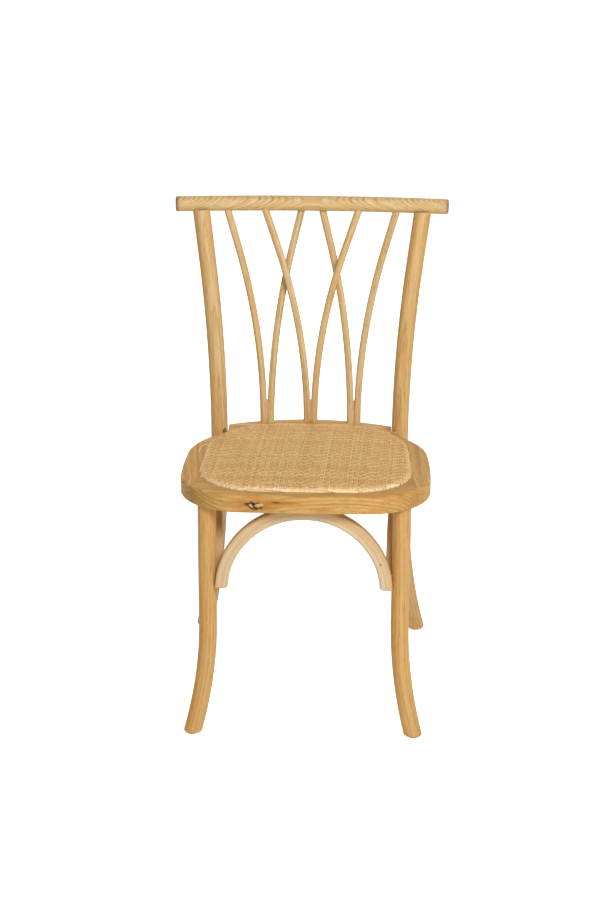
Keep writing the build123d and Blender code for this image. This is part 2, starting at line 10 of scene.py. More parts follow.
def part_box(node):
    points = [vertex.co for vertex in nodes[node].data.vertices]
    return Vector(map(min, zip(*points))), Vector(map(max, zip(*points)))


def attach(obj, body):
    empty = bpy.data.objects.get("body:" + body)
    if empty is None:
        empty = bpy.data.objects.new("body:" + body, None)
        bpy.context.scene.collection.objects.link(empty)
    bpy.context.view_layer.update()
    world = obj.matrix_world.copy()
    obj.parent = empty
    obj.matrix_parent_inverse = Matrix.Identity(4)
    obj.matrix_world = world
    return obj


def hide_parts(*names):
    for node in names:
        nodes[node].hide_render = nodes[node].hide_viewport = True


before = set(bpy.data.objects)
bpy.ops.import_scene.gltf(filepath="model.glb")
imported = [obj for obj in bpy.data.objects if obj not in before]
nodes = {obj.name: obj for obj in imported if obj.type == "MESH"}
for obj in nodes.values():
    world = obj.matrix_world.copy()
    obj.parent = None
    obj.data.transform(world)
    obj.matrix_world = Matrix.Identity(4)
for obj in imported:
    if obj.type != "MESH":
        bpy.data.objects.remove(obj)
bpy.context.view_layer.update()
scene = bpy.context.scene
SEED = 7
rng = random.Random(SEED)

# A bent-wood dining chair with a woven rattan seat.
# Metres, +Z up, +Y to the back; left and right are as seen from the front.
# The origin is on the floor, under the middle of the chair.
SIDES = ((-1, "left"), (1, "right"))
X, Y = 0, 1
LOW, HIGH = 0, 1
DECIMALS = 6


def face(node, corner, axis):
    """Where a piece ends on one axis, at the lowest or highest corner of its box, to a micrometre."""
    return round(getattr(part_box(node)[corner], axis), DECIMALS)


# Seat frame
SEAT_TOP = face("seat_front_rail", HIGH, "z")
FRAME_BOTTOM = face("seat_front_rail", LOW, "z")
FRAME_MIDDLE = (FRAME_BOTTOM + SEAT_TOP) / 2
FRONT_Y = face("seat_front_rail", LOW, "y")
BACK_Y = face("seat_back_rail", HIGH, "y")

# Top rail, a round bar bowed to the back
RAIL_RADIUS = 0.01375
RAIL_HALF = 0.249
RAIL_BOW = 0.017
RAIL_Y = BACK_Y + 0.0055
RAIL_Z = face("top_rail", LOW, "z") + RAIL_RADIUS
RAIL_REACH = 0.25
RAIL_STEPS = 10

# Rear legs: their centre lines end just below the floor, and inside the top rail
POST_X = 0.168
POST_Y = BACK_Y - 0.0785
POST_TOP_X = 0.204
POST_TOP_Y = RAIL_Y - 0.0115
KICK_HEIGHT = 0.215
LEAN_HEIGHT = 0.615
REAR_END = (0.2184, 0.2562, -0.031)

# Front legs: their centre lines end just below the floor, and inside the seat frame
FRONT_LEG_X = 0.169
FRONT_LEG_Y = FRONT_Y + 0.046
FRONT_BEND_HEIGHT = 0.102
FRONT_STRAIGHT_HEIGHT = 0.21
FRONT_TOP_HEIGHT = FRAME_BOTTOM + 0.03
FRONT_END = (0.2052, -0.2422, -0.03)

# Spindles: kind, half distances at the foot and the top, place of the foot, bow and shift to the back
SPINDLES = (
    ("outer", 0.08815, 0.157, 0.1497, 0.008, 0.0),
    ("front", 0.00665, 0.088, 0.1595, -0.008, -0.0035),
    ("back", 0.07485, 0.017, 0.1497, 0.025, 0.0045),
)
SPINDLE_RADIUS = 0.0065
SPINDLE_FOOT_HEIGHT = 0.44
SPINDLE_BEND_HEIGHT = 0.628
SPINDLE_TOP_HEIGHT = 0.8675
SPINDLE_TINT = (0.88, 1.0)

# Braces under the seat
ARCH_HALF = 0.155
ARCH_STEPS = 40
BRACE_HALF_WIDTH = 0.011
# Painted shading across each brace: paler inside, darker golden along the outside under the seat
ARCH_TINT = 0.5
ARCH_PAINTED_SHADE = 0.32


# Finishes: places of the two colours and the result on a mix of colours
MIX_FIRST, MIX_SECOND, MIX_RESULT = 6, 7, 2


class Tree:
    """The joined patterns of one finish, with short calls to add to them."""

    def __init__(self, owner, shader="Principled BSDF"):
        owner.use_nodes = True
        self.owner = owner
        self.tree = owner.node_tree
        self.shader = self.tree.nodes[shader]

    def join(self, source, socket):
        self.tree.links.new(source, socket)

    def put(self, value, socket):
        """Joins another pattern to a socket, or sets the socket to a plain value."""
        if isinstance(value, bpy.types.NodeSocket):
            self.join(value, socket)
        else:
            socket.default_value = value

    def node(self, kind, **settings):
        node = self.tree.nodes.new(kind)
        for key, value in settings.items():
            setattr(node, key, value)
        return node

    def math(self, operation, *values):
        node = self.node("ShaderNodeMath", operation=operation)
        for value, socket in zip(values, node.inputs):
            self.put(value, socket)
        return node.outputs[0]

    def vector(self, operation, *values):
        node = self.node("ShaderNodeVectorMath", operation=operation)
        for value, socket in zip(values, node.inputs):
            self.put(value, socket)
        return node.outputs["Value" if operation == "LENGTH" else "Vector"]

    def noise(self, place, scale, detail, rough, output="Fac"):
        node = self.node("ShaderNodeTexNoise")
        self.put(place, node.inputs["Vector"])
        for name, value in (("Scale", scale), ("Detail", detail), ("Roughness", rough)):
            node.inputs[name].default_value = value
        return node.outputs[output]

    def stretched(self, place, stretch, detail, rough, output="Fac"):
        """Noise that is finer on some axes than on others."""
        return self.noise(self.vector("MULTIPLY", place, stretch), 1.0, detail, rough, output)

    def ramp(self, value, stops):
        """Turns a value into a grey or a colour, by stops along a scale."""
        node = self.node("ShaderNodeValToRGB")
        self.put(value, node.inputs[0])
        ramp = node.color_ramp
        while len(ramp.elements) < len(stops):
            ramp.elements.new(1.0)
        for element, (place, colour) in zip(ramp.elements, stops):
            element.position = place
            if isinstance(colour, (int, float)):
                colour = (colour, colour, colour)
            element.color = (*colour, 1.0)
        return node.outputs[0]

    def mix(self, amount, first, second, blend="MIX"):
        node = self.node("ShaderNodeMix", data_type="RGBA", blend_type=blend)
        self.put(amount, node.inputs[0])
        for value, place in ((first, MIX_FIRST), (second, MIX_SECOND)):
            joined = isinstance(value, bpy.types.NodeSocket)
            self.put(value if joined else (*value, 1.0), node.inputs[place])
        return node.outputs[MIX_RESULT]

    def attribute(self, name, output="Fac"):
        return self.node("ShaderNodeAttribute", attribute_name=name).outputs[output]

    def place(self):
        """Each point's place on the chair."""
        return self.node("ShaderNodeTexCoord").outputs["Object"]

    def seen(self):
        """1 for what is seen, directly or in a shiny or clear surface, and 0 for light on its way."""
        path = self.node("ShaderNodeLightPath").outputs
        shown = self.math("MAXIMUM", path["Is Camera Ray"], path["Is Glossy Ray"])
        return self.math("MAXIMUM", shown, path["Is Transmission Ray"])

    def bump(self, height, strength, depth):
        node = self.node("ShaderNodeBump")
        node.inputs["Strength"].default_value = strength
        node.inputs["Distance"].default_value = depth
        self.join(height, node.inputs["Height"])
        self.join(node.outputs[0], self.shader.inputs["Normal"])

    def surface(self, colour, rough, *fixed):
        """Sets the colour, the roughness and other named values, and gives back the finish."""
        self.put(colour, self.shader.inputs["Base Color"])
        self.put(rough, self.shader.inputs["Roughness"])
        for name, value in fixed:
            self.shader.inputs[name].default_value = value
        return self.owner


# Patterns in wood: how fine each one is, across the grain twice and then along it
WANDER_STRETCH = (9.0, 9.0, 2.2)
DOT_STRETCH = (700.0, 700.0, 130.0)
FIBRE_STRETCH = (1500.0, 1500.0, 26.0)
STREAK_STRETCH = (260.0, 260.0, 4.0)
TONE_STRETCH = (62.0, 62.0, 4.0)
PORE_STRETCH = (480.0, 480.0, 24.0)

# Growth rings: how far they wander, the late wood in each, and the dotted line where one ends
RING_WANDER = 0.02
RING_BAND = ((0.0, 0.1), (0.4, 0.2), (0.8, 0.95), (0.92, 0.8), (1.0, 0.1))
RING_LEAST = 0.3
RING_SPREAD = 0.8
RING_LINE = ((0.0, 1.0), (0.1, 0.0), (0.84, 0.0), (1.0, 1.0))
LINE_DOTS = ((0.4, 1.0), (0.6, 0.2))

# Strength of the other patterns
STREAK_GAIN, STREAK_BASE = 1.5, -0.72
FIBRE_GAIN, FIBRE_BASE = 0.5, -0.25
TONE_RANGE = ((0.42, 0.0), (0.66, 0.72))
PORE_RANGE = ((0.0, 1.0), (0.35, 0.8), (0.45, 0.0))
PORE_STRENGTH = 0.42
PORE_SHADE = (0.72, 0.55, 0.42)
END_STRENGTH = 0.62
END_SHADE = 0.52
PALE_TINT = (1.13, 1.42, 2.15)
FIBRE_ROUGH = 0.2
SMOOTHING = 0.08
FIBRE_RELIEF, BAND_RELIEF = 0.6, 0.4
WOOD_SHINE = 0.18

# Stains and patches of painted shade: how ragged they are, how fine their edge is, and where they start to
# fade
SPOT_RAG = 0.7
SPOT_SCALE = 1.6
SPOT_FADE = 0.25


def rings(t, grain, spacing):
    """Late wood in growth rings, uneven from ring to ring, and the dotted lines where they end."""
    wander = t.stretched(grain, WANDER_STRETCH, detail=2.0, rough=0.5, output="Color")
    wander = t.vector("SUBTRACT", wander, (0.5, 0.5, 0.5))
    wander = t.vector("MULTIPLY", wander, (RING_WANDER, RING_WANDER, RING_WANDER))
    across = t.vector("MULTIPLY", t.vector("ADD", grain, wander), (1.0, 1.0, 0.0))
    phase = t.math("DIVIDE", t.vector("LENGTH", across), spacing)
    turn = t.math("FRACT", phase)
    strength = t.node("ShaderNodeTexWhiteNoise", noise_dimensions="1D")
    t.join(t.math("FLOOR", phase), strength.inputs["W"])
    uneven = t.math("MULTIPLY_ADD", strength.outputs["Value"], RING_SPREAD, RING_LEAST)
    band = t.math("MULTIPLY", t.ramp(turn, RING_BAND), uneven)
    dots = t.ramp(t.stretched(grain, DOT_STRETCH, detail=1.0, rough=0.5), LINE_DOTS)
    line = t.math("MULTIPLY", t.ramp(turn, RING_LINE), dots)
    return band, line


def spotted(t, colour, spots):
    """Ragged stains and patches of painted shade, each given by its middle, its reach on each axis, its
    colour and its strength.
    """
    place = t.place()
    for middle, reach, hue, most in spots:
        off = t.vector("DIVIDE", t.vector("SUBTRACT", place, middle), reach)
        even = t.math("SUBTRACT", t.vector("LENGTH", off), SPOT_RAG / 2)
        ragged = t.noise(off, SPOT_SCALE, detail=3.0, rough=0.6)
        far = t.math("MULTIPLY_ADD", ragged, SPOT_RAG, even)
        colour = t.mix(t.ramp(far, ((SPOT_FADE, most), (1.0, 0.0))), colour, hue)
    return colour


def wood(name, hues, ring=0.0062, contrast=1.0, figure=0.85, lines=0.2, gloss=0.5, spots=()):
    """Solid wood: rings round a distant heart, fibres, pores, dark end grain and slow changes of tone.

    Hues are the early wood, the late wood and the warm patches. Figure and lines are how strongly
    the rings and their ends show.
    """
    early, late, blush = hues
    t = Tree(bpy.data.materials.new(name))
    grain = t.attribute("grain", "Vector")
    band, line = rings(t, grain, ring)
    fibre = t.stretched(grain, FIBRE_STRETCH, detail=3.0, rough=0.6)
    streak = t.stretched(grain, STREAK_STRETCH, detail=4.0, rough=0.6)
    tone = t.stretched(grain, TONE_STRETCH, detail=2.0, rough=0.5)
    pores = t.ramp(t.stretched(grain, PORE_STRETCH, detail=2.0, rough=0.6), PORE_RANGE)
    amount = t.math("MULTIPLY_ADD", streak, STREAK_GAIN * contrast, STREAK_BASE * contrast)
    amount = t.math("MULTIPLY_ADD", band, figure * contrast, amount)
    thread = t.math("MULTIPLY_ADD", fibre, FIBRE_GAIN * contrast, FIBRE_BASE * contrast)
    amount = t.math("ADD", amount, thread)
    tint = t.attribute("tint")
    light, warm = (t.mix(tint, hue, PALE_TINT, "MULTIPLY") for hue in (early, blush))
    colour = t.mix(amount, light, late)
    colour = t.mix(t.ramp(tone, TONE_RANGE), colour, warm)
    pore = tuple(k * c for k, c in zip(PORE_SHADE, late))
    colour = t.mix(t.math("MULTIPLY", pores, PORE_STRENGTH * contrast), colour, pore)
    colour = t.mix(t.math("MULTIPLY", line, lines * contrast), colour, pore)
    colour = spotted(t, colour, spots)
    end = t.math("MULTIPLY", t.attribute("end"), END_STRENGTH)
    colour = t.mix(end, colour, tuple(END_SHADE * c for c in late))
    rough = t.math("MULTIPLY_ADD", fibre, FIBRE_ROUGH, gloss - SMOOTHING)
    relief = t.math("MULTIPLY_ADD", fibre, FIBRE_RELIEF, t.math("MULTIPLY", band, BAND_RELIEF))
    t.bump(relief, strength=0.15, depth=0.0006)
    return t.surface(colour, rough, ("Specular IOR Level", WOOD_SHINE))


# Colours of the wood: early wood, late wood and warm patches
TAN = ((0.72, 0.455, 0.173), (0.475, 0.246, 0.059), (0.64, 0.335, 0.088))
LEG_TAN = ((0.685, 0.433, 0.166), *TAN[1:])
BLOND = ((0.715, 0.512, 0.275), (0.575, 0.36, 0.155), (0.63, 0.385, 0.158))
RUST = (0.46, 0.19, 0.032)
KNOT_BROWN = (0.12, 0.05, 0.014)
NAIL_BROWN = (0.14, 0.075, 0.03)
# Dark end grain deepened with painted shade, for the shaded left end of the top rail
DARK_END_GRAIN_AND_SHADE = (0.085, 0.05, 0.026)
GREY_END = (0.30, 0.20, 0.125)

# Stains: the two ends of the top rail, the left one dark end grain deepened with painted shade, the knots
# and streaks of the front rail, and a nail hole
RAIL_END_X = 0.2505
RAIL_END_Y = RAIL_Y - RAIL_BOW
RAIL_STAINS_AND_SHADE = (
    # Left end: end grain darkened further with painted shade
    ((-RAIL_END_X, RAIL_END_Y, RAIL_Z), (0.0115, 0.05, 0.05), DARK_END_GRAIN_AND_SHADE, 0.9),
    ((RAIL_END_X, RAIL_END_Y, RAIL_Z), (0.0085, 0.05, 0.05), GREY_END, 0.8),
)
FACE_Y = FRONT_Y + 0.001
FRONT_STAINS = (
    ((-0.080, FACE_Y, 0.4405), (0.058, 0.03, 0.0175), RUST, 0.8),
    ((-0.036, FACE_Y, 0.4455), (0.042, 0.02, 0.0052), RUST, 1.0),
    ((0.031, FACE_Y, 0.4340), (0.026, 0.02, 0.0065), RUST, 0.5),
    ((-0.047, FACE_Y, 0.4462), (0.010, 0.02, 0.0026), KNOT_BROWN, 0.9),
    ((0.1658, -0.2345, SEAT_TOP - 0.0005), (0.0085, 0.012, 0.0045), RUST, 0.85),
    ((0.04, -0.235, SEAT_TOP), (0.03, 0.01, 0.003), RUST, 0.4),
)
BRACE_FACE_Y = face("front_brace", LOW, "y")
NAIL_HOLE = ((0.1332, BRACE_FACE_Y, 0.3245), (0.0024, 0.006, 0.0024), NAIL_BROWN, 0.95)

GOLD = wood("golden_wood", TAN)
LEG = wood("golden_wood_legs", LEG_TAN, figure=0.45, lines=0.5)
RAIL = wood("golden_wood_rail", TAN, spots=RAIL_STAINS_AND_SHADE)
FRONT = wood("golden_wood_front", TAN, spots=FRONT_STAINS)
PALE = wood("pale_wood", BLOND, ring=0.0075, contrast=0.6, gloss=0.48, spots=(NAIL_HOLE,))

TORN_RANGE = ((0.35, 0.0), (0.65, 1.0))
TORN_ROUGH = 0.7


def torn(name, dark, light, grit=420.0):
    """Torn or crumbled wood: rough, and mottled between two colours."""
    t = Tree(bpy.data.materials.new(name))
    mottle = t.noise(t.place(), grit, detail=4.0, rough=0.65)
    t.bump(mottle, strength=0.4, depth=0.0008)
    colour = t.mix(t.ramp(mottle, TORN_RANGE), dark, light)
    return t.surface(colour, TORN_ROUGH)


BARK = torn("knot_dark", (0.045, 0.018, 0.006), (0.22, 0.095, 0.028))
CHIP = torn("knot_chip", (0.56, 0.35, 0.15), (0.72, 0.50, 0.26), grit=160.0)
FILLER = torn("wood_filler", (0.56, 0.345, 0.14), (0.80, 0.56, 0.28))

MOTTLE_DARK, MOTTLE_LIGHT = 0.8, 1.12
MOTTLE_ROUGH = 0.2


def plain(name, colour, rough, metallic=0.0, grit=400.0, shine=0.5):
    """A small part's finish, with a slight mottle."""
    t = Tree(bpy.data.materials.new(name))
    mottle = t.noise(t.place(), grit, detail=3.0, rough=0.6)
    dark, light = (tuple(k * c for c in colour) for k in (MOTTLE_DARK, MOTTLE_LIGHT))
    t.bump(mottle, strength=0.08, depth=0.0003)
    rough = t.math("MULTIPLY_ADD", mottle, MOTTLE_ROUGH, rough - MOTTLE_ROUGH / 2)
    shade = t.mix(mottle, dark, light)
    return t.surface(shade, rough, ("Metallic", metallic), ("Specular IOR Level", shine))


STEEL = plain("steel", (0.32, 0.30, 0.27), 0.38, metallic=1.0)
YELLOW = plain("yellow_zinc", (0.34, 0.205, 0.075), 0.45, metallic=1.0)
PLASTIC = plain("glide_plastic", (0.72, 0.66, 0.56), 0.5)
BOARD = plain("plywood", (0.62, 0.42, 0.22), 0.6, grit=90.0)
# Painted shadow: a dark, shineless colour for the pad under the weave, seen in the gaps between strands
WEAVE_GAP_SHADOW = plain("rattan_shadow", (0.24, 0.095, 0.018), 0.8, shine=0.0)

CANE_STOPS = (
    (0.0, (0.46, 0.245, 0.085)),
    (0.45, (0.74, 0.435, 0.15)),
    (0.85, (0.95, 0.67, 0.33)),
    (1.0, (0.99, 0.88, 0.68)),
)
CANE_LINE = (0.60, 0.36, 0.14)
CANE_TONE_GAIN, CANE_TONE_BASE = 0.75, -0.15
CANE_PATCH_SCALE, CANE_PATCH_GAIN = 60.0, 0.5
CANE_LINE_SCALE, CANE_LINE_GAIN, CANE_LINE_BASE = 900.0, 0.5, -0.15
CANE_ROUGH, CANE_LINE_ROUGH = 0.38, 0.2
CANE_GLOSS = (("Specular IOR Level", 0.25), ("Coat Weight", 0.1), ("Coat Roughness", 0.3))


def cane():
    """Split cane: pale glossy skin with darker lengths and fine lines along it."""
    t = Tree(bpy.data.materials.new("rattan"))
    lie = t.attribute("lie", "Vector")
    patch = t.noise(lie, CANE_PATCH_SCALE, detail=2.0, rough=0.5)
    line = t.noise(lie, CANE_LINE_SCALE, detail=2.0, rough=0.6)
    tone = t.math("MULTIPLY_ADD", t.attribute("tone"), CANE_TONE_GAIN, CANE_TONE_BASE)
    colour = t.ramp(t.math("MULTIPLY_ADD", patch, CANE_PATCH_GAIN, tone), CANE_STOPS)
    lined = t.math("MULTIPLY_ADD", line, CANE_LINE_GAIN, CANE_LINE_BASE)
    colour = t.mix(lined, colour, CANE_LINE)
    rough = t.math("MULTIPLY_ADD", line, CANE_LINE_ROUGH, CANE_ROUGH)
    return t.surface(colour, rough, *CANE_GLOSS)


CANE = cane()


# Grain: each point's place across and along the run of the wood
ACROSS = (1, 0, 0)
UPWARD = (0, 0, 1)
BEND_SHARE = 0.95
BEND_STEPS = 24


def bend(start, corner, end):
    """Points of a centre line bent once, as a run, an arc and a run."""
    a, c, b = Vector(start), Vector(corner), Vector(end)
    into, out = a - c, b - c
    reach = BEND_SHARE * min(into.length, out.length)
    p, q = c + into.normalized() * reach, c + out.normalized() * reach
    weight = math.cos((math.pi - into.angle(out)) / 2)
    points = [a]
    for step in range(BEND_STEPS + 1):
        s = step / BEND_STEPS
        k = ((1 - s) ** 2, 2 * s * (1 - s) * weight, s * s)
        points.append((p * k[0] + c * k[1] + q * k[2]) / sum(k))
    return points + [b]


def along(points, side):
    """Grain that follows a centre line; side is a direction square to its bends."""
    line = np.array([tuple(p) for p in points], float)
    side = np.array(side, float)

    def place(co):
        best = np.full(len(co), np.inf)
        grain, course = np.zeros((len(co), 3)), np.zeros((len(co), 3))
        start = 0.0
        for p, q in zip(line, line[1:]):
            length = np.linalg.norm(q - p)
            ahead = (q - p) / length
            s = np.clip((co - p) @ ahead, 0, length)
            off = co - p - s[:, None] * ahead
            far = np.linalg.norm(off, axis=1)
            near = far < best
            best[near] = far[near]
            values = np.stack((off @ side, off @ np.cross(ahead, side), start + s), 1)
            grain[near] = values[near]
            course[near] = ahead
            start += length
        return grain, course

    return place


def mirrored(place, middle):
    """Grain that runs the same way from the middle of a piece to both its ends."""

    def folded(co):
        grain, course = place(co)
        grain[:, 2] = np.abs(grain[:, 2] - middle)
        return grain, course

    return folded


def straight(axis):
    """Grain along one level axis of the chair."""
    order = [1 - axis, 2, axis]
    return lambda co: (co[:, order], np.broadcast_to(np.eye(3)[axis], co.shape))


def mark(mesh, name, values):
    """Stores a number or three at each point of a mesh, for its finish."""
    values = np.asarray(values, np.float32)
    kind, field = ("FLOAT_VECTOR", "vector") if values.ndim == 2 else ("FLOAT", "value")
    layer = mesh.attributes.new(name, kind, "POINT")
    layer.data.foreach_set(field, values.ravel())


def points_of(collection, field):
    """The places or directions held by a mesh, one row for each point."""
    values = np.empty(len(collection) * 3, np.float32)
    collection.foreach_get(field, values)
    return values.reshape(-1, 3)


def copied(node, material):
    """A copy of a piece's mesh with a finish of its own."""
    mesh = nodes[node].data.copy()
    mesh.materials.clear()
    mesh.materials.append(material)
    return mesh


def show(name, data):
    piece = bpy.data.objects.new(name, data)
    scene.collection.objects.link(piece)
    return piece


def dress(node, mesh, place, core, tilt=0.0, lean=0.0, tint=0.0, fine=1.0):
    """A piece of wood with its grain, shown instead of its plain one.

    Place gives each point's grain, core is where the heart of its tree lay, tilt and lean are how
    steeply the rings cross it, tint is how pale it is, and fine is how fine its patterns are.
    """
    piece = show("wood_" + node, mesh)
    grain, course = place(points_of(mesh.vertices, "co").astype(float))
    paleness = tint(grain) if callable(tint) else np.full(len(grain), tint)
    end = np.abs((points_of(mesh.vertex_normals, "vector") * course).sum(1))
    grain[:, 0] += tilt * grain[:, 2]
    grain[:, 1] += lean * grain[:, 2]
    mark(mesh, "grain", fine * (grain + np.array(core)))
    mark(mesh, "end", np.clip(end, 0, 1) ** 2)
    mark(mesh, "tint", paleness)
    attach(piece, "root")
    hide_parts(node)


# How far the pieces lay from the heart of their trees, and the length over which they were cut
BAR_HEART = 0.03
SIDE_RAIL_HEART = 0.09
BACK_RAIL_HEART = 0.08
PLUG_HEART = 0.02
NEAREST_SHARE = 0.5
TREE_LENGTH = 30
REAR_LEG_HEART = (0.003, 0.016)
TOP_RAIL_HEART = (0.012, 0.03, 0.4)
FRONT_RAIL_HEART = (0.235, -0.405, 0.0)


def heart(spread):
    """How far a piece lay from the heart of its tree, and where along it."""
    angle = rng.uniform(0, 2 * math.pi)
    reach = rng.uniform(NEAREST_SHARE, 1.0) * spread
    return (reach * math.cos(angle), reach * math.sin(angle), rng.uniform(0, TREE_LENGTH))


# Legs, spindles and rails
def rear_leg(side, name):
    """One bar from the floor to the top rail, bent below the seat and again above it."""
    joint = (side * POST_X, POST_Y, FRAME_MIDDLE)
    foot = (side * REAR_END[0], *REAR_END[1:])
    top = (side * POST_TOP_X, POST_TOP_Y, RAIL_Z)
    line = bend(foot, (side * POST_X, POST_Y, KICK_HEIGHT), joint)
    line += bend(joint, (side * POST_X, POST_Y, LEAN_HEIGHT), top)[1:]
    core = (side * REAR_LEG_HEART[0], REAR_LEG_HEART[1], rng.uniform(0, TREE_LENGTH))
    node = "rear_leg_" + name
    grain = along(line, ACROSS)
    dress(node, copied(node, LEG), grain, core, tilt=0.006 * side, lean=0.03, tint=0.4 - 0.1 * side)


def front_leg(side, name):
    """One bar from the floor to the seat, curving out at the foot."""
    leg_x = side * FRONT_LEG_X
    foot = (side * FRONT_END[0], *FRONT_END[1:])
    corner = (leg_x, FRONT_LEG_Y, FRONT_BEND_HEIGHT)
    line = bend(foot, corner, (leg_x, FRONT_LEG_Y, FRONT_STRAIGHT_HEIGHT))
    line.append(Vector((leg_x, FRONT_LEG_Y, FRONT_TOP_HEIGHT)))
    node = "front_leg_" + name
    dress(node, copied(node, LEG), along(line, ACROSS), heart(BAR_HEART), tilt=0.012 * side, tint=0.1)


def rail_y(x):
    """Where the bowed top rail runs, at a distance from its middle."""
    return RAIL_Y - RAIL_BOW * (x / RAIL_HALF) ** 2


def spindle(node, side, foot_x, top_x, foot_y, bow, shift):
    """One thin bent bar from the back rail to the top rail; gives back its centre line."""
    foot = (side * foot_x, foot_y, SPINDLE_FOOT_HEIGHT)
    corner = (side * foot_x, foot_y + bow, SPINDLE_BEND_HEIGHT)
    top = (side * top_x, rail_y(top_x) + shift, SPINDLE_TOP_HEIGHT)
    line = bend(foot, corner, top)
    core = heart(BAR_HEART)
    paleness = rng.uniform(*SPINDLE_TINT)
    dress(node, copied(node, LEG), along(line, ACROSS), core, tilt=0.01, tint=paleness)
    return line


def top_rail():
    """The bowed bar, cut so that its rings run out in long tongues towards its ends."""
    places = [step * RAIL_REACH / RAIL_STEPS for step in range(-RAIL_STEPS, RAIL_STEPS + 1)]
    line = [(x, rail_y(x), RAIL_Z) for x in places]
    grain = mirrored(along(line, UPWARD), RAIL_REACH)
    mesh = copied("top_rail", RAIL)
    dress("top_rail", mesh, grain, TOP_RAIL_HEART, tilt=0.42, tint=0.95, fine=1.5)


runs = {}
for side, name in SIDES:
    rear_leg(side, name)
    front_leg(side, name)
    for kind, *sizes in SPINDLES:
        runs[side, kind] = spindle(f"spindle_{name}_{kind}", side, *sizes)
    node = f"seat_{name}_rail"
    dress(node, copied(node, GOLD), straight(Y), heart(SIDE_RAIL_HEART), tilt=0.06)
top_rail()
for node, axis, spread, paleness in (
    ("seat_back_rail", X, BACK_RAIL_HEART, 0.35),
    ("bolt_plugs", Y, PLUG_HEART, 0.0),
    ("screw_plug", X, PLUG_HEART, 0.0),
):
    dress(node, copied(node, GOLD), straight(axis), heart(spread), tint=paleness)


# An open knot in the front rail: a torn hollow with two chips of pale wood still in it
COARSE_TEAR, FINE_TEAR = 2.1, 6.0
FINE_SHARE = 0.4
TEAR_SPREAD = 90
SAME_POINT = 1e-6
SHARP_ANGLE = math.radians(30)
KNOT_MIDDLE = (-0.0825, FRONT_Y - 0.0005, 0.4400)
KNOT_RADII = (0.0168, 0.0075, 0.0068)

# Chips in the knot: name, middle, radii and slant
CHIP_ROUGH = 0.3
CHIPS = (
    ("knot_chip", (-0.0752, FRONT_Y + 0.0030, 0.4404), (0.0090, 0.0032, 0.0038), -0.2),
    ("knot_sliver", (-0.0900, FRONT_Y + 0.0032, 0.4392), (0.0044, 0.0028, 0.0022), 0.7),
)


def lump(name, centre, radii, slant, rough, material):
    """A torn, rounded lump, longer than it is high."""
    bm = bmesh.new()
    bmesh.ops.create_icosphere(bm, subdivisions=4, radius=1.0)
    for v in bm.verts:
        coarse = noise.noise(v.co * COARSE_TEAR + Vector(centre) * TEAR_SPREAD)
        fine = noise.noise(v.co * FINE_TEAR)
        v.co *= 1 + rough * coarse + FINE_SHARE * rough * fine
    mesh = bpy.data.meshes.new(name)
    bm.to_mesh(mesh)
    bm.free()
    turned = Matrix.Translation(centre) @ Matrix.Rotation(slant, 4, "Y")
    mesh.transform(turned @ Matrix.Diagonal((*radii, 1.0)))
    mesh.materials.append(material)
    mesh.shade_smooth()
    return show(name, mesh)


def carved(mesh, tool):
    """A mesh with a hollow cut into it."""
    bm = bmesh.new()
    bm.from_mesh(mesh)
    bmesh.ops.remove_doubles(bm, verts=bm.verts, dist=SAME_POINT)
    bm.to_mesh(mesh)
    bm.free()
    if "custom_normal" in mesh.attributes:
        mesh.attributes.remove(mesh.attributes["custom_normal"])
    piece = show("carving", mesh)
    cut = piece.modifiers.new("cut", "BOOLEAN")
    cut.object = tool
    cut.operation = "DIFFERENCE"
    cut.solver = "EXACT"
    cut.material_mode = "TRANSFER"
    shaped = piece.evaluated_get(bpy.context.evaluated_depsgraph_get())
    result = bpy.data.meshes.new_from_object(shaped)
    for gone in (piece, tool):
        bpy.data.objects.remove(gone)
    result.shade_smooth()
    result.set_sharp_from_angle(angle=SHARP_ANGLE)
    return result


def front_rail():
    """The front rail, with its rings running out along it and the knot torn out."""
    hollow = lump("hollow", KNOT_MIDDLE, KNOT_RADII, slant=0.12, rough=0.45, material=BARK)
    mesh = carved(copied("seat_front_rail", FRONT), hollow)
    dress("seat_front_rail", mesh, straight(X), FRONT_RAIL_HEART, tilt=0.2)


front_rail()
for name, centre, radii, slant in CHIPS:
    chip = lump(name, centre, radii, slant, CHIP_ROUGH, CHIP)
    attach(chip, "root")


# Filler in the crotch of each pair of spindles
FILLER_HEIGHT = 0.043
FILLER_LEVELS = 9
FILLER_SIDES = 10
FILLER_FOOT = SEAT_TOP + 0.0005
FILLER_LAP, FILLER_LAP_TAPER = 0.0016, 0.5
FILLER_DEPTH, FILLER_DEPTH_TAPER = 0.0056, 0.75


def build_mesh(name, verts, faces, material):
    mesh = bpy.data.meshes.new(name)
    mesh.from_pydata([tuple(v) for v in verts], [], faces)
    mesh.materials.append(material)
    mesh.shade_smooth()
    piece = show(name, mesh)
    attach(piece, "root")
    return piece


def point_at(line, height):
    """The point of a rising centre line at a height."""
    for p, q in zip(line, line[1:]):
        if p.z <= height <= q.z:
            return p.lerp(q, (height - p.z) / (q.z - p.z))


def tube_faces(base, levels, sides):
    """Faces between rings of points, and over the first and the last ring."""
    faces = []
    for level in range(levels - 1):
        for k in range(sides):
            a, b = base + level * sides + k, base + level * sides + (k + 1) % sides
            faces.append((a, b, b + sides, a + sides))
    top = base + (levels - 1) * sides
    faces.append(tuple(range(base + sides - 1, base - 1, -1)))
    faces.append(tuple(range(top, top + sides)))
    return faces


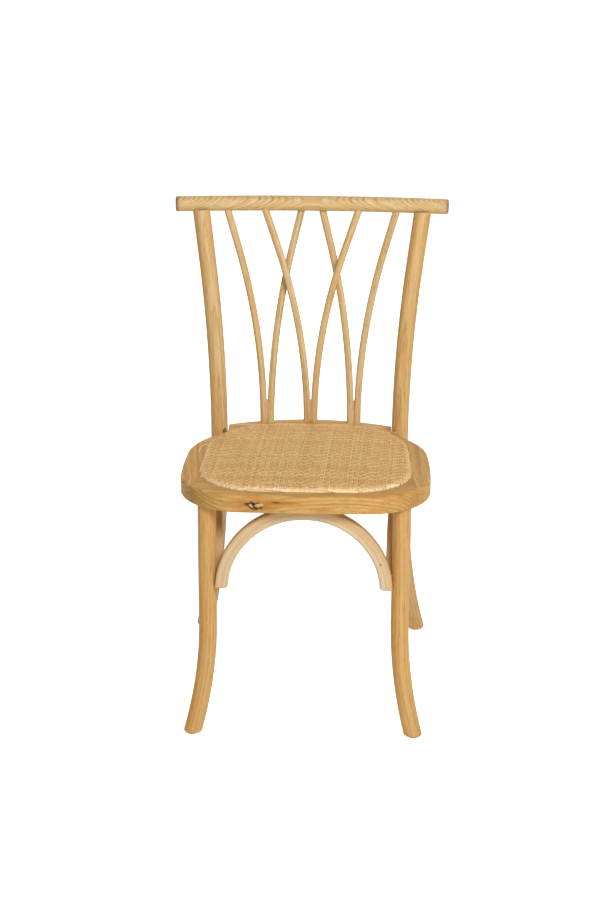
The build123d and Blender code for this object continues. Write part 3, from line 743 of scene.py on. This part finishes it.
def filler(name, first, second):
    """A sliver of glue and dust between two bars, up to where they part."""
    verts = []
    for level in range(FILLER_LEVELS):
        share = level / (FILLER_LEVELS - 1)
        height = FILLER_FOOT + FILLER_HEIGHT * share
        a, b = point_at(first, height), point_at(second, height)
        middle, apart = (a + b) / 2, Vector((b.x - a.x, b.y - a.y, 0))
        lap = FILLER_LAP * (1 - FILLER_LAP_TAPER * share)
        reach = max(0.0, apart.length / 2 - SPINDLE_RADIUS) + lap
        depth = FILLER_DEPTH * (1 - FILLER_DEPTH_TAPER * share**2)
        apart.normalize()
        square = Vector((-apart.y, apart.x, 0))
        for k in range(FILLER_SIDES):
            angle = 2 * math.pi * k / FILLER_SIDES
            verts.append(middle + apart * reach * math.cos(angle) + square * depth * math.sin(angle))
    piece = build_mesh(name, verts, tube_faces(0, FILLER_LEVELS, FILLER_SIDES), FILLER)


filler("filler_left", runs[-1, "outer"], runs[-1, "back"])
filler("filler_middle", runs[-1, "front"], runs[1, "front"])
filler("filler_right", runs[1, "back"], runs[1, "outer"])


# Braces under the seat
def arch(middle, span):
    """Centre line of a brace: a half circle that stands on its span."""
    radius = span.length - BRACE_HALF_WIDTH
    points = []
    for step in range(ARCH_STEPS + 1):
        angle = math.pi * step / ARCH_STEPS
        out = span.normalized() * radius * math.cos(angle)
        points.append(middle - out + Vector((0, 0, radius * math.sin(angle))))
    return points


def painted_arch_shading(grain):
    """Painted shading across an arch: paler towards the inside, darker golden along the outside, where the
    seat shades it.
    """
    return ARCH_TINT - ARCH_PAINTED_SHADE * np.clip(grain[:, 1] / BRACE_HALF_WIDTH, -1, 1)


for node in ("front_brace", "left_brace", "right_brace"):
    low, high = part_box(node)
    if node == "front_brace":
        span, square = Vector((ARCH_HALF, 0, 0)), (0, 1, 0)
    else:
        span, square = Vector((0, (high.y - low.y) / 2, 0)), (-1, 0, 0)
    middle = (low + high) / 2
    middle.z = FRAME_BOTTOM - span.length
    grain = along(arch(middle, span), square)
    dress(node, copied(node, PALE), grain, heart(BAR_HEART), tint=painted_arch_shading)


# Small and hidden pieces keep their shape and take a finish
for node, material in (
    ("brace_screws", STEEL),
    ("seat_board_screws", STEEL),
    ("rear_leg_bolts", STEEL),
    ("toe_screws", YELLOW),
    ("foot_glides", PLASTIC),
    ("seat_board", BOARD),
    ("seat_frame_dowels", BOARD),
):
    for slot in nodes[node].material_slots:
        slot.material = material


# Woven seat pad, its edge turned down over the rebate
PAD_FRONT = FRONT_Y + 0.026
PAD_BACK = BACK_Y - 0.044
PAD_MIDDLE = (PAD_FRONT + PAD_BACK) / 2
PAD_FRONT_HALF = 0.184
PAD_BACK_HALF = 0.171
PAD_END_BOW = 0.006
PAD_SIDE_BOW = 0.004
PAD_FRONT_RADIUS = 0.100
FRONT_LIP = 0.0078
BACK_LIP = 0.0038
PAD_CROWN = 0.0065
PAD_LIFT = 0.0004
DOME_HALF_WIDTH = 0.189
DOME_HALF_DEPTH = 0.182


def edge_distance(x, y, grow=0.002, back_radius=0.125):
    """How far a point lies inside the pad's edge: four bowed sides with rounded corners."""
    front, back = PAD_FRONT_HALF + grow, PAD_BACK_HALF + grow
    low, high = PAD_FRONT - grow, PAD_BACK + grow
    share = np.clip((y - low - PAD_END_BOW) / (high - low - 2 * PAD_END_BOW), 0, 1)
    to_side = front + (back - front) * share + 4 * PAD_SIDE_BOW * share * (1 - share) - np.abs(x)
    to_front = y - low - PAD_END_BOW * (x / front) ** 2
    to_back = high - PAD_END_BOW * (x / back) ** 2 - y
    inside = np.minimum(np.minimum(to_side, to_front), to_back)
    for to_end, radius in ((to_front, PAD_FRONT_RADIUS), (to_back, back_radius)):
        corner = (to_side < radius) & (to_end < radius)
        turned = radius - np.hypot(radius - to_side, radius - to_end)
        inside = np.where(corner, np.minimum(inside, turned), inside)
    return inside


def pad_height(x, y):
    """Height of the pad's top: a shallow dome that turns down at the edge."""
    dome = (1 - (x / DOME_HALF_WIDTH) ** 2) * (1 - ((y - PAD_MIDDLE) / DOME_HALF_DEPTH) ** 2)
    share = np.clip((y - PAD_FRONT) / (PAD_BACK - PAD_FRONT), 0, 1)
    lip = FRONT_LIP + (BACK_LIP - FRONT_LIP) * share
    inside = np.clip(edge_distance(x, y) / lip, 0, 1)
    turned = lip * np.sqrt(1 - (1 - inside) ** 2)
    return SEAT_TOP + PAD_LIFT + PAD_CROWN * np.maximum(dome, 0) + turned


# Stuffing under the weave, coloured dark as painted shadow where it shows between the strands
PAD_RINGS = 30
PAD_SPOKES = 160
PAD_ANGLES = 2 * math.pi * np.arange(PAD_SPOKES) / PAD_SPOKES
PAD_INSET = 0.0013
PAD_BELOW_WEAVE = 0.0022
PAD_EDGE_HEIGHT = SEAT_TOP + 0.0006
PAD_REST = SEAT_TOP + 0.0003
PAD_UNDERSIDE = SEAT_TOP - 0.0077
FOOT_SHAPE = {"grow": -0.0005, "back_radius": 0.145}
RIM_LIMIT = 0.3
RIM_HALVINGS = 30


def spread_out(reach):
    """Points in plan at a distance from the pad's middle in each direction."""
    return reach * np.cos(PAD_ANGLES), PAD_MIDDLE + reach * np.sin(PAD_ANGLES)


def rim(inset, **shape):
    """Distance of the pad's edge from its middle in each direction."""
    near, far = np.zeros(PAD_SPOKES), np.full(PAD_SPOKES, RIM_LIMIT)
    for _ in range(RIM_HALVINGS):
        test = (near + far) / 2
        held = edge_distance(*spread_out(test), **shape) > inset
        near, far = np.where(held, test, near), np.where(held, far, test)
    return near


def pad():
    """The stuffed pad: a domed top, a turned edge, and a foot that sits in the rebate."""
    edge = rim(PAD_INSET)
    foot = np.minimum(edge, rim(0.0, **FOOT_SHAPE))
    levels = []
    for ring in range(1, PAD_RINGS + 1):
        x, y = spread_out(edge * math.sin(0.5 * math.pi * ring / PAD_RINGS))
        levels.append((x, y, np.maximum(pad_height(x, y) - PAD_BELOW_WEAVE, PAD_EDGE_HEIGHT)))
    for reach, z in ((edge, PAD_REST), (foot, PAD_REST), (foot, PAD_UNDERSIDE)):
        levels.append((*spread_out(reach), np.full(PAD_SPOKES, z)))
    verts = [point for level in levels for point in zip(*level)]
    top, under = len(verts), len(verts) + 1
    verts.append((0, PAD_MIDDLE, levels[0][2].mean()))
    verts.append((0, PAD_MIDDLE, PAD_UNDERSIDE))
    faces = []
    for ring in range(len(levels) - 1):
        for k in range(PAD_SPOKES):
            a, b = ring * PAD_SPOKES + k, ring * PAD_SPOKES + (k + 1) % PAD_SPOKES
            faces.append((a, a + PAD_SPOKES, b + PAD_SPOKES, b))
    last = (len(levels) - 1) * PAD_SPOKES
    for k in range(PAD_SPOKES):
        faces.append((top, k, (k + 1) % PAD_SPOKES))
        faces.append((under, last + (k + 1) % PAD_SPOKES, last + k))
    return build_mesh("rattan_pad", verts, faces, WEAVE_GAP_SHADOW)


# Woven strands: flat lengths of cane at an even pitch, turned a little on the seat
PITCH = 0.0042
HALF_PITCH = PITCH / 2
SKEW = math.radians(-2.4)
TURN = np.array(((math.cos(SKEW), -math.sin(SKEW)), (math.sin(SKEW), math.cos(SKEW))))
PAD_CENTRE = np.array((0.0, PAD_MIDDLE))
WEAVE_REACH = 0.27
STRANDS = int(WEAVE_REACH / PITCH)
WOBBLE = 0.1
SHORTEST = 6
EDGE_MARGIN = 0.0002
EDGE_HALVINGS = 18
EDGE_STEPS = np.array((0.0004, 0.0012, 0.0025, 0.0045))
TINY = 1e-9

# The twill: over two and under two, with its order broken every three strands
REPEAT = 4
BREAK_EVERY = 3
BREAKS = 6 * STRANDS
FIRST_PHASE = 0.125
WAVE_STEEPNESS = 1.6
STRAND_LIFT = 0.0008
CALM_WIDTH = 0.006
CALM_LEAST = 0.25
STRAND_END = SEAT_TOP + 0.0002
STRAND_LOWEST = SEAT_TOP + 0.0003

# A strand's section, across and upwards, as shares of its width and thickness
SECTION = ((-0.5, -0.34), (-0.2, 0.26), (0.2, 0.26), (0.5, -0.34))
STRAND_THICKNESS = 0.0012
STRAND_WIDTH = (0.68, 0.88)
OVERTURNED = -0.2

# Tones: the middle and the spread for each way of the weave, and how far apart the strands lie in the cane
WARP_TONE = (0.51, 0.13)
WEFT_TONE = (0.72, 0.16)
LIE_APART = 0.37
WEFT_APART = 50

# The pad's lip, where the strands are wider and carry a painted highlight, strongest at the front
LIP_WIDTH = 0.009
LIP_PITCHES = 1.25
LIP_HIGHLIGHT_TONE = 1.2
LIP_HIGHLIGHT_STRENGTH = 0.9
LIP_HIGHLIGHT_FADE = 0.15
LIP_HIGHLIGHT_LEAST = 0.3


class Strands:
    """Lengths of cane: their points and faces, and each point's tone and place in the cane."""

    def __init__(self):
        self.verts = []
        self.faces = []
        self.tones = []
        self.lies = []

    def add(self, point, tone, lie):
        self.verts.append(point)
        self.tones.append(tone)
        self.lies.append(lie)


def on_pad(warp, shift, steps):
    """Points in plan of a strand at a shift from the middle, at steps along it."""
    level = np.full_like(steps, shift)
    pair = (level, steps) if warp else (steps, level)
    return np.stack(pair, 1) @ TURN.T + PAD_CENTRE


def edge_step(warp, shift, outer, inner):
    """Where a strand meets the pad's edge, between a step outside it and a step inside."""
    for _ in range(EDGE_HALVINGS):
        test = (outer + inner) / 2
        x, y = on_pad(warp, shift, np.array([test]))[0]
        if edge_distance(x, y) > 0:
            inner = test
        else:
            outer = test
    return inner


def strand_steps(warp, shift):
    """Steps along a strand from edge to edge, closer where it turns down; none if it is too short."""
    grid = np.arange(-2 * STRANDS, 2 * STRANDS + 1) * HALF_PITCH
    x, y = on_pad(warp, shift, grid).T
    held = np.nonzero(edge_distance(x, y) > EDGE_MARGIN)[0]
    if len(held) < SHORTEST:
        return None
    first, last = held[0], held[-1]
    start = edge_step(warp, shift, grid[first - 1], grid[first])
    stop = edge_step(warp, shift, grid[last + 1], grid[last])
    steps = ([start], grid[first:last + 1], [stop], start + EDGE_STEPS, stop - EDGE_STEPS)
    return np.unique(np.round(np.concatenate(steps), DECIMALS))


def over_under(warp, number, steps, breaks):
    """How a strand goes over and under the others, from 1 to -1 along it."""
    crossing = steps / PITCH
    column = np.full_like(crossing, number) if warp else np.round(crossing)
    broken = breaks[np.floor(column / BREAK_EVERY).astype(int) + 2 * STRANDS]
    phase = (crossing - number if warp else number - crossing) + broken
    turn = 2 * math.pi * (phase / REPEAT + FIRST_PHASE)
    wave = np.clip(WAVE_STEEPNESS * np.sin(turn), -1, 1)
    return wave if warp else -wave


def strand_line(warp, number, shift, steps, breaks):
    """Centre line of a strand, calmer near the pad's edge and turned down at both its ends."""
    x, y = on_pad(warp, shift, steps).T
    lift = STRAND_LIFT * over_under(warp, number, steps, breaks)
    lift = lift * np.clip(edge_distance(x, y) / CALM_WIDTH, CALM_LEAST, 1)
    z = np.maximum(pad_height(x, y) - STRAND_LIFT + lift, STRAND_LOWEST)
    line = np.stack((x, y, z), 1)
    ends = line[[0, -1]]
    ends[:, 2] = STRAND_END
    return np.concatenate((ends[:1], line, ends[1:]))


def unit(rows):
    return rows / np.maximum(np.linalg.norm(rows, axis=1), TINY)[:, None]


def lay_strand(strands, warp, number, line):
    """Adds one flat strand along its centre line, wider on the lip and brightened there by a painted
    highlight, most so at the front.
    """
    flat = np.array((*TURN[:, 0 if warp else 1], 0.0))
    normal = unit(np.cross(flat, unit(np.gradient(line, axis=0))))
    if not warp:
        normal = -normal
    normal = np.where((normal[:, 2] < OVERTURNED)[:, None], -normal, normal)
    width = PITCH * rng.uniform(*STRAND_WIDTH)
    tone = min(1.0, max(0.0, rng.gauss(*(WARP_TONE if warp else WEFT_TONE))))
    lip = np.clip(1 - edge_distance(line[:, 0], line[:, 1]) / LIP_WIDTH, 0, 1)
    # Painted highlight on the lip, fading towards the back
    painted_highlight = lip * np.clip((PAD_MIDDLE - line[:, 1]) / LIP_HIGHLIGHT_FADE, LIP_HIGHLIGHT_LEAST, 1)
    base, sides = len(strands.verts), len(SECTION)
    for k, centre in enumerate(line):
        wide = width + (LIP_PITCHES * PITCH - width) * lip[k]
        shade = tone + (LIP_HIGHLIGHT_TONE - tone) * LIP_HIGHLIGHT_STRENGTH * painted_highlight[k]
        lie = (number * LIE_APART + (0 if warp else WEFT_APART), 0.0, k * HALF_PITCH)
        for across, rise in SECTION:
            point = centre + flat * (across * wide) + normal[k] * rise * STRAND_THICKNESS
            strands.add(point, shade, lie)
    for k in range(len(line) - 1):
        for j in range(sides - 1):
            a = base + k * sides + j
            strands.faces.append((a, a + 1, a + sides + 1, a + sides))


def weave(strands):
    """A broken twill of strands both ways, laid on the pad."""
    breaks = np.array([rng.randrange(REPEAT) for _ in range(BREAKS)])
    for warp in (True, False):
        for number in range(-STRANDS, STRANDS + 1):
            shift = (number + rng.uniform(-WOBBLE, WOBBLE)) * PITCH
            steps = strand_steps(warp, shift)
            if steps is not None:
                lay_strand(strands, warp, number, strand_line(warp, number, shift, steps, breaks))


# Two stray ends of cane: the points of a bent curve
STRAY_LIE = SEAT_TOP + 0.0007
CURL = (
    (-0.1959, -0.0314, STRAY_LIE),
    (-0.1965, 0.0120, STRAY_LIE + 0.001),
    (-0.1850, 0.0160, STRAY_LIE + 0.003),
    (-0.1755, -0.0080, STRAY_LIE + 0.002),
)
CURL_RADIUS = 0.0006
STUB = (
    (-0.1822, -0.1590, STRAY_LIE),
    (-0.1818, -0.1570, STRAY_LIE),
    (-0.1805, -0.1560, STRAY_LIE + 0.001),
    (-0.1785, -0.1550, STRAY_LIE + 0.001),
)
STUB_RADIUS = 0.0009
STRAY_SIDES = 6
STRAY_STEPS = 14
STRAY_TONE = 1.3
STRAY_APART = 90.0
STRAY_LENGTH = 0.05


def loose_end(strands, points, radius):
    """A stray cane end: a thin round length on one bent curve, added to the strands."""
    a, b, c, d = (np.array(p) for p in points)
    base = len(strands.verts)
    for step in range(STRAY_STEPS + 1):
        s = step / STRAY_STEPS
        centre = a * (1 - s) ** 3 + b * 3 * s * (1 - s) ** 2 + c * 3 * s * s * (1 - s) + d * s**3
        ahead = (b - a) * (1 - s) ** 2 + (c - b) * 2 * s * (1 - s) + (d - c) * s * s
        aside = np.cross(ahead, UPWARD)
        aside /= np.linalg.norm(aside)
        upward = np.cross(aside, ahead / np.linalg.norm(ahead))
        for k in range(STRAY_SIDES):
            angle = 2 * math.pi * k / STRAY_SIDES
            point = centre + radius * (aside * math.cos(angle) + upward * math.sin(angle))
            strands.add(point, STRAY_TONE, (STRAY_APART, 0.0, s * STRAY_LENGTH))
    strands.faces += tube_faces(base, STRAY_STEPS + 1, STRAY_SIDES)


seat_pad = pad()
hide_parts("rattan_cover", "seat_foam")
woven = Strands()
weave(woven)
loose_end(woven, CURL, CURL_RADIUS)
loose_end(woven, STUB, STUB_RADIUS)
strands = build_mesh("rattan_strands", woven.verts, woven.faces, CANE)
mark(strands.data, "tone", woven.tones)
mark(strands.data, "lie", woven.lies)


# Floor, light and camera
FLOOR_HALF = 60.0
FLOOR_COLOUR = (0.88, 0.84, 0.75, 1)
FLOOR_ROUGH = 0.9
FLOOR_SHOWN = 0.9
WHITE = (1, 1, 1)
ROOM_LIGHT = (0.225, 0.20, 0.158)
CAMERA_LENS = 80.0
CAMERA_SENSOR = 36.0
CAMERA_PLACE = (0.09895, -3.4305, 1.6564)
CAMERA_PITCH = math.radians(19.297)
CAMERA_YAW = math.radians(1.894)
CAMERA_ROLL = math.radians(0.224)


def floor():
    """A wide pale floor that is seen as white and still takes the chair's shadow."""
    far = FLOOR_HALF
    corners = [(-far, -far, 0), (far, -far, 0), (far, far, 0), (-far, far, 0)]
    mesh = bpy.data.meshes.new("floor")
    mesh.from_pydata(corners, [], [(0, 1, 2, 3)])
    t = Tree(bpy.data.materials.new("floor"))
    t.join(t.math("MULTIPLY", t.seen(), FLOOR_SHOWN), t.shader.inputs["Emission Strength"])
    fixed = (("Emission Color", (*WHITE, 1)), ("Specular IOR Level", 0.0))
    mesh.materials.append(t.surface(FLOOR_COLOUR, FLOOR_ROUGH, *fixed))
    piece = show("floor", mesh)


def studio():
    """Soft light from all round, seen as white."""
    scene.world = bpy.data.worlds.new("studio")
    t = Tree(scene.world, "Background")
    t.join(t.mix(t.seen(), ROOM_LIGHT, WHITE), t.shader.inputs["Color"])


def lamp(name, place, aim, size, power, gloss=True):
    """A round lamp that points at its aim; without gloss it leaves no shine."""
    data = bpy.data.lights.new(name, "AREA")
    data.shape = "DISK"
    data.size = size
    data.energy = power
    light = show(name, data)
    light.location = place
    light.rotation_euler = (Vector(aim) - Vector(place)).to_track_quat("-Z", "Y").to_euler()
    light.visible_glossy = gloss


def camera():
    """The eye, at the photograph's place and angle: tipped down, turned and slightly rolled."""
    data = bpy.data.cameras.new("camera")
    data.lens = CAMERA_LENS
    data.sensor_width = CAMERA_SENSOR
    data.sensor_fit = "AUTO"
    level = math.cos(CAMERA_PITCH)
    ahead = Vector((-math.sin(CAMERA_YAW) * level, math.cos(CAMERA_YAW) * level, -math.sin(CAMERA_PITCH)))
    right = ahead.cross(Vector(UPWARD)).normalized()
    up = right.cross(ahead)
    cos, sin = math.cos(CAMERA_ROLL), math.sin(CAMERA_ROLL)
    axes = Matrix((right * cos + up * sin, up * cos - right * sin, -ahead)).transposed()
    eye = show("camera", data)
    eye.matrix_world = Matrix.Translation(CAMERA_PLACE) @ axes.to_4x4()
    scene.camera = eye


floor()
studio()
lamp("key", place=(1.05, -2.8, 2.95), aim=(0, 0, 0.45), size=1.5, power=96)
lamp("fill", place=(-1.6, -3.2, 1.6), aim=(0, 0, 0.45), size=2.0, power=6)
lamp("low", place=(1.9, -2.6, 0.5), aim=(-0.1, 0, 0.4), size=1.2, power=12)
lamp("rear", place=(-0.9, 2.9, 1.7), aim=(0, 0.1, 0.5), size=1.6, power=34, gloss=False)
camera()
scene.view_settings.view_transform = "Standard"
